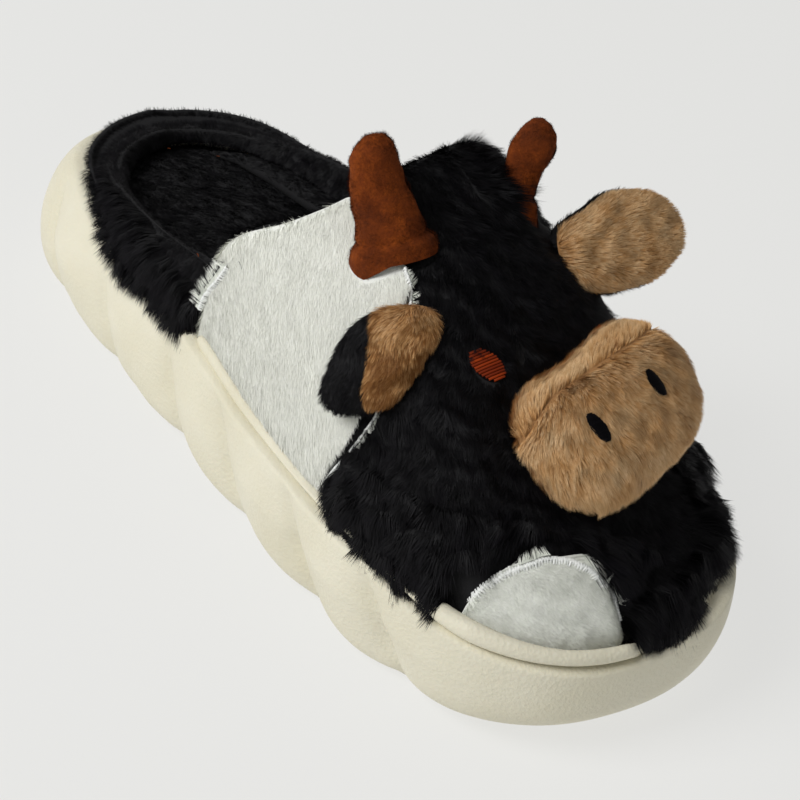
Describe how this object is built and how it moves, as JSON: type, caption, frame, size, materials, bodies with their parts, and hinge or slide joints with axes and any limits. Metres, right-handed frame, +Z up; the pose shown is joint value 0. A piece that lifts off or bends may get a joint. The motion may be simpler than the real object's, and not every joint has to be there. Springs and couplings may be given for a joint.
{
  "type": "animal slipper",
  "caption": "Right-foot open-heel plush slipper: thick moulded foam sole, hollow vamp with a stuffed muzzle, eyes, ears and horns, padded heel collar.",
  "frame": {"origin": "centre of the heel's flat spot on the floor", "axes": "-Y towards the toe, +Y towards the heel, -X the wearer's right, +Z up"},
  "size_m": [0.1141, 0.27, 0.1219],
  "materials": {
    "moulded_foam": "matt, fine leather-like grain",
    "black_plush": "deep pile",
    "white_plush": "deep pile",
    "tan_plush": "deep pile",
    "brown_felt": "short nap",
    "black_thread": "satin embroidery",
    "orange_thread": "satin embroidery"
  },
  "bodies": {
    "root": {"sole": "moulded_foam", "piping": "moulded_foam", "insole": "black_plush", "upper": "black_plush", "heel_collar": "black_plush", "side_patch": "white_plush", "toe_patch": "white_plush", "muzzle": "tan_plush", "nostril_right": "black_thread", "nostril_left": "black_thread", "eye_right": "orange_thread", "eye_left": "orange_thread", "horn_right": "brown_felt", "horn_left": "brown_felt", "ear_front_right": "tan_plush", "ear_back_right": "black_plush", "ear_front_left": "tan_plush", "ear_back_left": "black_plush"}
  },
  "joints": []
}
